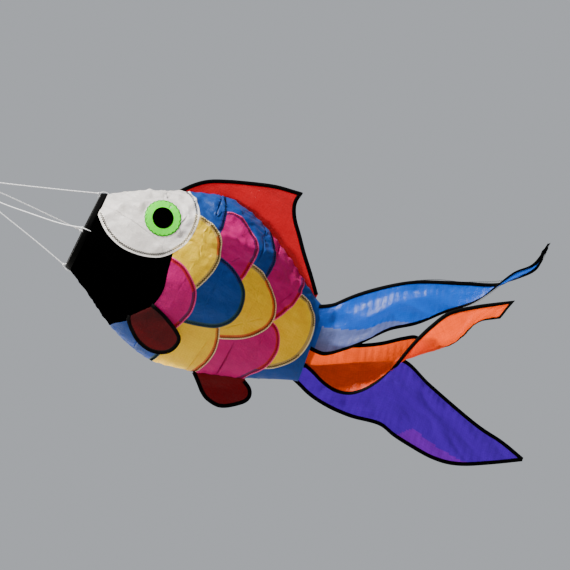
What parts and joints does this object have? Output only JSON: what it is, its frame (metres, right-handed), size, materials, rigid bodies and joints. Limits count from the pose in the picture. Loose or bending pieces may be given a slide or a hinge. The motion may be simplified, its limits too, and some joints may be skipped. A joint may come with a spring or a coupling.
{
  "type": "carp streamer",
  "caption": "Hollow fish windsock of sewn coloured ripstop scales on a mouth hoop, with fins, ribbon tails and a bridle with a snap swivel.",
  "frame": {"origin": "the tow point, inside the front bend of the snap", "axes": "+X from the tow point through the mouth to the tail, +Z towards the dorsal fin; the fish faces -X and its left side is at -Y"},
  "size_m": [1.3716, 0.2324, 0.6058],
  "materials": {
    "white_ripstop": "translucent nylon",
    "black_ripstop": "nylon",
    "green_ripstop": "nylon",
    "blue_ripstop": "translucent nylon",
    "yellow_ripstop": "translucent nylon",
    "pink_ripstop": "translucent nylon",
    "red_ripstop": "translucent nylon",
    "dark_red_ripstop": "nylon, two layers",
    "orange_ripstop": "translucent nylon",
    "purple_ripstop": "translucent nylon",
    "binding": "folded black tape",
    "bridle_cord": "braided polyester",
    "hoop_rod": "fibreglass rod",
    "steel": "nickel plated wire",
    "brass": "plated brass"
  },
  "bodies": {
    "fish": {"mouth_hoop": "hoop_rod", "hoop_ferrule": "steel", "mouth_hem": "binding", "bridle_tie_top": "bridle_cord", "bridle_line_top": "bridle_cord", "bridle_tie_left": "bridle_cord", "bridle_line_left": "bridle_cord", "bridle_tie_bottom": "bridle_cord", "bridle_line_bottom": "bridle_cord", "bridle_tie_right": "bridle_cord", "bridle_line_right": "bridle_cord", "head_left": "white_ripstop", "jaw_left": "black_ripstop", "scale_pink_front_left": "pink_ripstop", "chin_left": "blue_ripstop", "scale_yellow_front_left": "yellow_ripstop", "scale_blue_front_left": "blue_ripstop", "scale_blue_middle_left": "blue_ripstop", "scale_pink_upper_left": "pink_ripstop", "scale_yellow_belly_left": "yellow_ripstop", "scale_yellow_middle_left": "yellow_ripstop", "scale_blue_upper_left": "blue_ripstop", "scale_pink_back_left": "pink_ripstop", "scale_pink_belly_left": "pink_ripstop", "scale_yellow_tail_left": "yellow_ripstop", "tail_base_left": "blue_ripstop", "eye_ring_left": "green_ripstop", "eye_pupil_left": "black_ripstop", "head_right": "white_ripstop", "jaw_right": "black_ripstop", "scale_pink_front_right": "pink_ripstop", "chin_right": "blue_ripstop", "scale_yellow_front_right": "yellow_ripstop", "scale_blue_front_right": "blue_ripstop", "scale_blue_middle_right": "blue_ripstop", "scale_pink_upper_right": "pink_ripstop", "scale_yellow_belly_right": "yellow_ripstop", "scale_yellow_middle_right": "yellow_ripstop", "scale_blue_upper_right": "blue_ripstop", "scale_pink_back_right": "pink_ripstop", "scale_pink_belly_right": "pink_ripstop", "scale_yellow_tail_right": "yellow_ripstop", "tail_base_right": "blue_ripstop", "eye_ring_right": "green_ripstop", "eye_pupil_right": "black_ripstop", "bridle_ring": "steel", "swivel_barrel": "brass", "swivel_eye_rear": "steel"},
    "dorsal_fin": {"dorsal_fin": "red_ripstop"},
    "ventral_fin": {"ventral_fin": "dark_red_ripstop"},
    "pectoral_fin_left": {"pectoral_fin_left": "dark_red_ripstop"},
    "pectoral_fin_right": {"pectoral_fin_right": "dark_red_ripstop"},
    "tail_blue": {"tail_blue": "blue_ripstop"},
    "tail_orange": {"tail_orange": "orange_ripstop"},
    "tail_purple": {"tail_purple": "purple_ripstop"},
    "snap": {"swivel_eye_front": "steel", "snap_frame": "steel"},
    "snap_gate": {"snap_gate": "steel"}
  },
  "joints": [
    {"name": "swivel_spin", "type": "hinge", "parent": "fish", "child": "snap", "pos_m": [0.052, 0, 0], "axis": [1, 0, 0], "continuous": true},
    {"name": "snap_gate_swing", "type": "hinge", "parent": "snap", "child": "snap_gate", "pos_m": [0.027, 0, -0.005], "axis": [0, 1, 0], "range_deg": [0, 18], "stiffness_Nm_per_rad": 0.002},
    {"name": "dorsal_fin_flap", "type": "hinge", "parent": "fish", "child": "dorsal_fin", "pos_m": [0.64, 0, 0.21], "axis": [0.9701, 0, -0.2425], "range_deg": [-20, 20], "stiffness_Nm_per_rad": 0.01},
    {"name": "ventral_fin_flap", "type": "hinge", "parent": "fish", "child": "ventral_fin", "pos_m": [0.726, 0, -0.1304], "axis": [0.9496, 0, 0.3134], "range_deg": [-25, 25], "stiffness_Nm_per_rad": 0.004},
    {"name": "pectoral_fin_left_flare", "type": "hinge", "parent": "fish", "child": "pectoral_fin_left", "pos_m": [0.497, -0.0783, -0.103], "axis": [-0.5555, 0.4376, -0.707], "range_deg": [-6, 40], "stiffness_Nm_per_rad": 0.006},
    {"name": "pectoral_fin_right_flare", "type": "hinge", "parent": "fish", "child": "pectoral_fin_right", "pos_m": [0.497, 0.0783, -0.103], "axis": [0.5555, 0.4376, 0.707], "range_deg": [-6, 40], "stiffness_Nm_per_rad": 0.006},
    {"name": "tail_blue_swing", "type": "hinge", "parent": "fish", "child": "tail_blue", "pos_m": [0.869, -0.012, 0.048], "axis": [-0.1255, 0, 0.9921], "range_deg": [-18, 18], "stiffness_Nm_per_rad": 0.03},
    {"name": "tail_orange_swing", "type": "hinge", "parent": "fish", "child": "tail_orange", "pos_m": [0.874, 0.002, -0.007], "axis": [-0.1255, 0, 0.9921], "range_deg": [-18, 18], "stiffness_Nm_per_rad": 0.03},
    {"name": "tail_purple_swing", "type": "hinge", "parent": "fish", "child": "tail_purple", "pos_m": [0.8795, 0.012, -0.051], "axis": [-0.1255, 0, 0.9921], "range_deg": [-18, 18], "stiffness_Nm_per_rad": 0.03}
  ],
  "couplings": [
    {"joint": "tail_orange_swing", "follows": "tail_purple_swing", "ratio": 1},
    {"joint": "tail_blue_swing", "follows": "tail_purple_swing", "ratio": 1}
  ]
}
